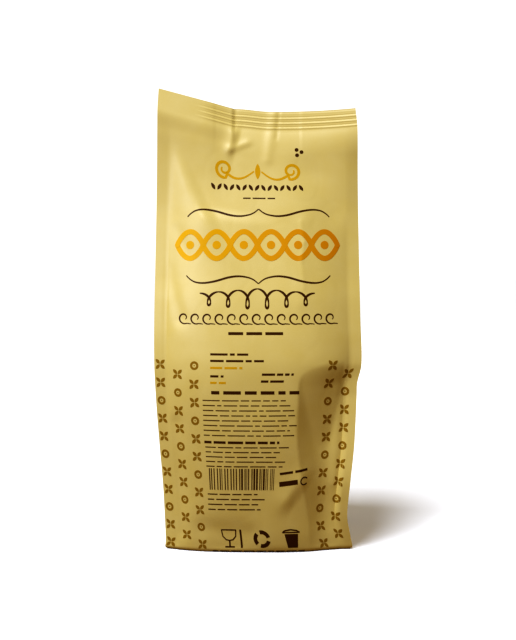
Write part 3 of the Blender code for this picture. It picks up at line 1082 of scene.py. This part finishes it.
# The lozenge's length as a share of the height, and its width in millimetres
LOZENGE_LONG, LOZENGE_WIDE = 0.85, 2.6


def scroll_pair(ink, face, z, half, tall, thick):
    """Two mirrored scrolls that run out of a lozenge, each rolled up at its end."""
    for side in (-1, 1):
        path = [(side * (ARM_START + (half * ARM_REACH - ARM_START) * k / ARM_STEPS),
                 z - tall * ARM_SAG * math.sin(math.pi * k / ARM_STEPS * ARM_BEND))
                for k in range(ARM_STEPS)]
        hub_x, hub_z = half * HUB_OUT, z + HUB_UP * tall
        for k in range(CURL_STEPS + 1):
            turn = CURL_START + 2 * math.pi * CURL_TURNS * k / CURL_STEPS
            reach = tall * (CURL_WIDE - CURL_LOSS * k / CURL_STEPS)
            path.append((side * (hub_x + reach * math.cos(turn)), hub_z + reach * math.sin(turn)))
        stroke(ink, face, path,
               lambda t: thick * (SCROLL_FINE + SCROLL_SWELLING * math.sin(math.pi * t)))
    grain(ink, face, 0, z, tall * LOZENGE_LONG, LOZENGE_WIDE, math.pi / 2)


print("a scroll rolls up by", CURL_TURNS, "turns")

# %% [markdown]
# Twisted rope
#
# The rope is the largest ornament, and its ink fades from amber at the left to orange at the
# right. It is two thick wavy strands that cross between round eyes. The strands are the same wave,
# one turned over, so the crossings fall where they should, and one is lifted over the other.

# %% Twisted rope
STRAND_STEPS = 20
# A power under 1 makes the wave rounder than a sine
STRAND_FULLNESS = 0.8
BEAD_SHARE = 0.26
CROSSING_LIFT = 0.03


def twisted_rope(ink, face, z, half, tall, thick, eyes):
    """Two thick strands that cross between round eyes, with a bead in each eye."""
    pitch = 2 * half / eyes
    swing = (tall - thick) / 2
    for way in (-1, 1):
        path = []
        for k in range(eyes * STRAND_STEPS + 1):
            wave = math.sin(math.pi * k / STRAND_STEPS)
            rise = math.copysign(abs(wave) ** STRAND_FULLNESS, wave)
            path.append((-half + pitch * k / STRAND_STEPS, z + way * swing * rise))
        stroke(ink, face, path, thick, lift=CROSSING_LIFT if way > 0 else 0.0)
        dot(ink, face, way * half, z, thick, lift=2 * CROSSING_LIFT)
    for k in range(eyes):
        dot(ink, face, -half + pitch * (k + 0.5), z, tall * BEAD_SHARE)


print("where the strands cross, one is", CROSSING_LIFT, "mm higher")

# %% [markdown]
# Lines of curls and loops
#
# Two lighter lines lie under the lower brace. The wave border is one small curl repeated, each
# with a foot that runs under the next. The flourish is a single pen line whose loops come from two
# waves at right angles, larger in the middle than at the ends.

# %% Running wave
WAVE_STEPS = 28
# A curl's start and its turns, and its radius at the start with what it loses, as shares of the
# height
WAVE_START, WAVE_TURNS = -0.8 * math.pi, 1.02
WAVE_WIDE, WAVE_LOSS = 0.5, 0.34
# The foot of a curl: its start and length as shares of the pitch, its drop as a share of the
# height, its rise in millimetres, its steps, and how many points of the curl it takes the place of
FOOT_START, FOOT_LONG, FOOT_DROP, FOOT_RISE = 0.62, 0.24, 0.46, 0.2
FOOT_STEPS, FOOT_TAKES = 4, 2
WAVE_FINE, WAVE_SWELLING = 0.32, 0.44


def running_wave(ink, face, z, half, tall, count):
    """A line of small curls, as on a wave border."""
    pitch = 2 * half / count
    for k in range(count):
        x = -half + pitch * (k + 0.5)
        path = [(x + pitch * FOOT_START - pitch * FOOT_LONG * j / FOOT_STEPS,
                 z - tall * FOOT_DROP + FOOT_RISE * j / FOOT_STEPS) for j in range(FOOT_STEPS)]
        for j in range(FOOT_TAKES, WAVE_STEPS + 1):
            turn = WAVE_START + 2 * math.pi * WAVE_TURNS * j / WAVE_STEPS
            reach = tall * (WAVE_WIDE - WAVE_LOSS * j / WAVE_STEPS)
            path.append((x - reach * math.cos(turn), z + reach * math.sin(turn)))
        stroke(ink, face, path, lambda t: WAVE_FINE + WAVE_SWELLING * math.sin(math.pi * t))


print("a curl of the wave has", WAVE_TURNS, "turns")


# %% Flourish
FLOURISH_STEPS = 96
# How many half waves the line makes on each side, how far it sways in millimetres, its height as
# a share, and what it loses towards the end
LOOP_WAVES, LOOP_SWAY = 6, 2.6
LOOP_HIGH, LOOP_LOSS = 0.5, 0.45
# The pen line's least thickness, how much it swells in millimetres, and how often
LOOP_FINE, LOOP_SWELLING, LOOP_SWELLS = 0.5, 0.6, 9


def flourish(ink, face, z, half, tall):
    """A free line of loops, mirrored left and right."""
    for side in (-1, 1):
        path = []
        for k in range(FLOURISH_STEPS + 1):
            t = k / FLOURISH_STEPS
            turn = LOOP_WAVES * math.pi * t
            rise = tall * LOOP_HIGH * math.cos(turn) * (1 - LOOP_LOSS * t)
            path.append((side * (half * t + LOOP_SWAY * math.sin(turn)), z + rise))
        stroke(ink, face, path, lambda t: LOOP_FINE + LOOP_SWELLING * abs(
            math.sin(LOOP_SWELLS * math.pi * t)))


print("the flourish makes", LOOP_WAVES, "half waves on each side")

# %% [markdown]
# Small print
#
# Small print is only a pixel or two thick at this distance. Text objects could fill it, but a line
# of bars of the length of words gives the same grey with far fewer faces. Their lengths are
# random, so that the lines look written and not ruled.

# %% Lines of words
WORD_LONG = (2.0, 8.5)
WORD_GAP = 1.1
# A line ends when less than this is left of it
LINE_REST = 1.0
# How much of its length a line of a text block may lose at the right
BLOCK_RAGGED = 0.14


def words(ink, face, x, z, long, thick, rng, ragged=0.0, gap=WORD_GAP):
    """A line of bars of the length of words, from x to the right."""
    end = x + long * (1 - ragged * rng.random())
    while x < end - LINE_REST:
        word = min(rng.uniform(*WORD_LONG), end - x)
        bar(ink, face, x, z, word, thick)
        x += word + gap


def text_block(ink, face, x, top, lines, pitch, long, thick, rng):
    for k in range(lines):
        words(ink, face, x, top - pitch * k, long, thick, rng, ragged=BLOCK_RAGGED)


print("words are", WORD_LONG[0], "to", WORD_LONG[1], "mm long")


# %% Striped code
# Widths to choose from in millimetres. The choice is random, so the code can't be read
STRIPES = (0.3, 0.3, 0.5, 0.85)
STRIPE_GAPS = (0.5, 0.5, 0.85, 1.2)
CODE_REST = 0.4


def bar_code(ink, face, x, low, long, tall, rng):
    end = x + long
    while x < end - CODE_REST:
        thick = rng.choice(STRIPES)
        stroke(ink, face, [(x + thick / 2, low), (x + thick / 2, low + tall)], thick)
        x += thick + rng.choice(STRIPE_GAPS)


print("stripes are", min(STRIPES), "to", max(STRIPES), "mm wide")

# %% [markdown]
# Care signs
#
# Three plain signs stand in a row above the base: a cup and knife for food use, a turning ring and
# a lidded bin. Each is a few strokes and bars, which keeps them as simple as stencils.

# %% Care signs
# The cup's bowl and the bin's lid as x and rise in millimetres
CUP_LINE = ((-18.6, 4.4), (-18.2, 1.2), (-16.6, -0.5), (-14.8, -0.9), (-13, -0.5), (-11.4, 1.2),
            (-11, 4.4))
LID_LINE = ((13.6, 3.3), (15.0, 4.2), (18.2, 4.7), (21.4, 4.2), (22.8, 3.3))
CUP_X, KNIFE_X, RING_X = -14.8, -8.6, 2.4
# The turning ring is made of arcs: how many, the degrees at which the first one starts, and how
# far each one goes round
RING_ARCS = 3
RING_START, RING_SWEEP = 14, math.radians(90)


def cup_sign(ink, face, z):
    stroke(ink, face, [(x, z + rise) for x, rise in CUP_LINE], 0.6)
    bar(ink, face, x=CUP_X - 4.0, z=z + 4.4, long=8.0, thick=0.6)
    stroke(ink, face, [(CUP_X, z - 0.9), (CUP_X, z - 3.8)], 0.8)
    bar(ink, face, x=CUP_X - 2.5, z=z - 4.1, long=5.0, thick=0.7)
    stroke(ink, face, [(KNIFE_X, z + 4.6), (KNIFE_X, z - 4.5)], 1.0)


def turning_sign(ink, face, z):
    for k in range(RING_ARCS):
        start = math.radians(360 / RING_ARCS * k + RING_START)
        ring(ink, face, RING_X, z, wide=7.0, thick=1.9, start=start, sweep=RING_SWEEP)


def bin_sign(ink, face, z):
    lay_ribbon(ink, face, [(14.6, z + 2.5), (15.6, z - 4.5)], [(21.8, z + 2.5), (20.8, z - 4.5)])
    stroke(ink, face, [(x, z + rise) for x, rise in LID_LINE], 0.7)
    bar(ink, face, x=13.6, z=z + 3.3, long=9.2, thick=0.6)


def care_signs(ink, face, z):
    cup_sign(ink, face, z)
    turning_sign(ink, face, z)
    bin_sign(ink, face, z)


print("the signs reach from", CUP_LINE[0][0], "to", LID_LINE[-1][0], "mm across")

# %% [markdown]
# Scattered motifs
#
# Columns of small golden motifs cover the lower half of the bag and its gussets. Each is drawn by
# a function with a little chance in it, because flexographic print is never quite even. Instances
# of one motif would be lighter, but they would not bend with the film.

# %% Motifs
MOTIF_PITCH = 8.63
MOTIF_TOP = 90.2
MOTIF_LOWEST = 2.6
MOTIF_ROWS = 11
# Every third motif of a column is a small ring
RING_EVERY = 3
ROSETTE_GRAINS = 4
ROSETTE_REACH, ROSETTE_LONG, ROSETTE_THICK = 1.65, 2.9, 1.5
ROSETTE_CHANCE, RING_CHANCE = 0.08, 0.1
SMALL_RING_WIDE, SMALL_RING_THICK, SMALL_RING_DOT = 3.1, 1.1, 0.6


def rosette(ink, face, x, z, rng):
    """Grains round a gap, each turned a little by chance."""
    for k in range(ROSETTE_GRAINS):
        angle = math.radians(45 + 90 * k) + rng.uniform(-ROSETTE_CHANCE, ROSETTE_CHANCE)
        grain(ink, face, x + ROSETTE_REACH * math.cos(angle), z + ROSETTE_REACH * math.sin(angle),
              ROSETTE_LONG, ROSETTE_THICK, angle)


def small_ring(ink, face, x, z, rng):
    wide = SMALL_RING_WIDE + rng.uniform(-RING_CHANCE, RING_CHANCE)
    ring(ink, face, x, z, wide, SMALL_RING_THICK)
    dot(ink, face, x, z, SMALL_RING_DOT)


def motif_columns(ink, face, places, rng):
    """Columns of motifs at these places across the film, every other one half a pitch lower."""
    for number, x in enumerate(places):
        for k in range(MOTIF_ROWS):
            z = MOTIF_TOP - MOTIF_PITCH * (k + 0.5 * (number % 2))
            if z < MOTIF_LOWEST:
                continue
            if (k + number) % RING_EVERY == RING_EVERY - 1:
                small_ring(ink, face, x, z, rng)
            else:
                rosette(ink, face, x, z, rng)


print("motifs every", MOTIF_PITCH, "mm down a column")

# %% [markdown]
# The printed faces
#
# Every place below is in film coordinates, from the middle of the face and up from the base. The
# upper half is alike on the front and the back. The lower front has the small print, the striped
# code and the signs, and the lower back a table of values, which is common on such bags.

# %% Upper half
# One run of random draws goes through all four faces, so the print is the same every time
SEED = 5
rng = random.Random(SEED)
print("random draws start from", SEED)


def print_top(face, rng):
    """The ornaments of the upper half, alike on the front and the back."""
    for x, z in ((19.4, 192.2), (21.6, 193.8), (19.2, 195.0)):
        dot("brown_ink", face, x, z, wide=1.9)
    scroll_pair("amber_ink", face, z=183.4, half=21.5, tall=9.6, thick=1.25)
    for k in range(15):
        grain("brown_ink", face, x=-21.6 + 3.05 * k, z=175.0, long=3.6, thick=1.5,
              angle=math.radians(58 if k % 2 else -58))
    for x, long in ((-7.0, 3.6), (-2.4, 6.2), (4.8, 3.6)):
        bar("brown_ink", face, x, z=169.6, long=long, thick=0.62)
    brace("brown_ink", face, z=162.3, way=1)
    twisted_rope("rope_ink", face, z=146.7, half=38.6, tall=15.4, thick=2.5, eyes=6)
    brace("brown_ink", face, z=130.2, way=-1)
    flourish("brown_ink", face, z=121.2, half=27.0, tall=9.4)
    running_wave("brown_ink", face, z=112.2, half=37.4, tall=6.0, count=13)
    words("brown_ink", face, x=-13.4, z=105.2, long=27.0, thick=1.3, rng=rng, gap=1.5)


# %% Front
def print_short_lines(face, rng):
    """Two short columns of words under the ornaments."""
    for z, long in ((95.6, 18.0), (92.6, 24.5)):
        words("brown_ink", face, x=-21.8, z=z, long=long, thick=0.95, rng=rng)
    words("amber_ink", face, x=-21.8, z=89.4, long=14.8, thick=0.95, rng=rng)
    words("brown_ink", face, x=-21.6, z=85.5, long=6.2, thick=0.95, rng=rng)
    words("amber_ink", face, x=-21.5, z=82.5, long=7.4, thick=0.95, rng=rng)
    for z, long in ((86.4, 14.6), (83.2, 10.6)):
        words("brown_ink", face, x=2.2, z=z, long=long, thick=1.0, rng=rng, gap=0.9)


def print_front(rng):
    face = "front"
    print_top(face, rng)
    print_short_lines(face, rng)
    words("brown_ink", face, x=-21.0, z=77.9, long=41.5, thick=1.5, rng=rng, gap=1.9)
    text_block("brown_ink", face, x=-25.3, top=74.2, lines=8, pitch=2.36, long=45.5, thick=0.44,
               rng=rng)
    words("brown_ink", face, x=-25.2, z=54.4, long=36.5, thick=1.15, rng=rng)
    text_block("brown_ink", face, x=-24.8, top=52.0, lines=5, pitch=2.3, long=41.0, thick=0.44,
               rng=rng)
    bar_code("brown_ink", face, x=-23.6, low=31.4, long=33.4, tall=10.4, rng=rng)
    for x, z, long, thick in ((12.2, 39.3, 6.6, 1.1), (20.0, 40.3, 6.2, 1.1), (12.2, 34.2, 9.4, 2.3)):
        bar("brown_ink", face, x, z, long, thick, slope=0.12)
    ring("brown_ink", face, x=25.0, z=35.6, wide=3.6, thick=0.6, start=math.radians(40),
         sweep=math.radians(280))
    text_block("brown_ink", face, x=-24.8, top=29.2, lines=4, pitch=2.5, long=30.0, thick=0.5,
               rng=rng)
    care_signs("brown_ink", face, z=7.0)
    words("brown_ink", face, x=-24.0, z=0.7, long=50.0, thick=0.6, rng=rng)
    motif_columns("gold_ink", face, (-46.6, -37.7, -29.4), rng)
    motif_columns("gold_ink", face, (35.0, 43.8), rng)


print_front(rng)
print("ribbons on the front", sum(len(ribbons) for ribbons in inks.values()))


# %% Back
def print_table(face, rng, top=63.0, pitch=3.9, rows=6):
    """A ruled table with a word and a value in each row."""
    for k in range(rows + 1):
        z = top - pitch * k
        bar("brown_ink", face, x=-22.0, z=z, long=44.0, thick=0.3)
        if k < rows:
            words("brown_ink", face, x=-21.0, z=z - 1.9, long=15.0, thick=0.8, rng=rng)
            words("brown_ink", face, x=12.0, z=z - 1.9, long=8.0, thick=0.8, rng=rng)


def print_back(rng):
    face = "back"
    print_top(face, rng)
    words("brown_ink", face, x=-21.0, z=94.0, long=41.5, thick=1.7, rng=rng, gap=1.9)
    text_block("brown_ink", face, x=-25.3, top=88.6, lines=9, pitch=2.36, long=47.0, thick=0.72,
               rng=rng)
    print_table(face, rng)
    text_block("brown_ink", face, x=-24.8, top=33.5, lines=5, pitch=2.5, long=46.0, thick=0.72,
               rng=rng)
    care_signs("brown_ink", face, z=12.0)
    motif_columns("gold_ink", face, (-46.6, -37.7, -29.4), rng)
    motif_columns("gold_ink", face, (29.4, 37.7, 46.6), rng)


print_back(rng)
print("ribbons on the front and the back", sum(len(ribbons) for ribbons in inks.values()))

# %% Print on the gussets
GUSSET_COLUMNS = (-19.0, -9.5, 0.0, 9.5, 19.0)

for side in ("right", "left"):
    motif_columns("gold_ink", side, GUSSET_COLUMNS, rng)
print("ribbons on all four faces", {ink: len(ribbons) for ink, ribbons in inks.items()})

# %% [markdown]
# Ink pieces
#
# Each ink takes the same matt lacquer as the film, because the lacquer lies over the print. What
# changes is the colour, and the ink under it takes off most of the shine. The brown is nearly
# black on the film, the gold ink is a darker gold than the film, and the rope fades from amber at
# the left to orange at the right.

# %% Build the ink pieces
INK_COLOURS = {
    "brown_ink": ("#482600", "#503002"),
    "gold_ink": ("#98731A", "#A07B22"),
    "amber_ink": ("#D6A406", "#DEAD10"),
    "rope_ink": ("#EFBA10", "#D58C04"),
}
ROPE_FADE = (-34, 38)
for ink, ribbons in inks.items():
    start, points, faces = 0, [], []
    for ribbon_points, ribbon_faces in ribbons:
        points.append(ribbon_points)
        faces.append(ribbon_faces + start)
        start += len(ribbon_points)
    data = bpy.data.meshes.new(ink)
    data.from_pydata(np.concatenate(points).tolist(), [], np.concatenate(faces).tolist())
    piece = add_piece(ink, data)
    colour, colour_thin = INK_COLOURS[ink]
    fade = ROPE_FADE if ink == "rope_ink" else None
    data.materials.append(matt_lacquer("matt_" + ink, colour, colour_thin, INK_SHINE, fade))
    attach(piece, "root")
    print(ink, len(data.polygons), "faces")
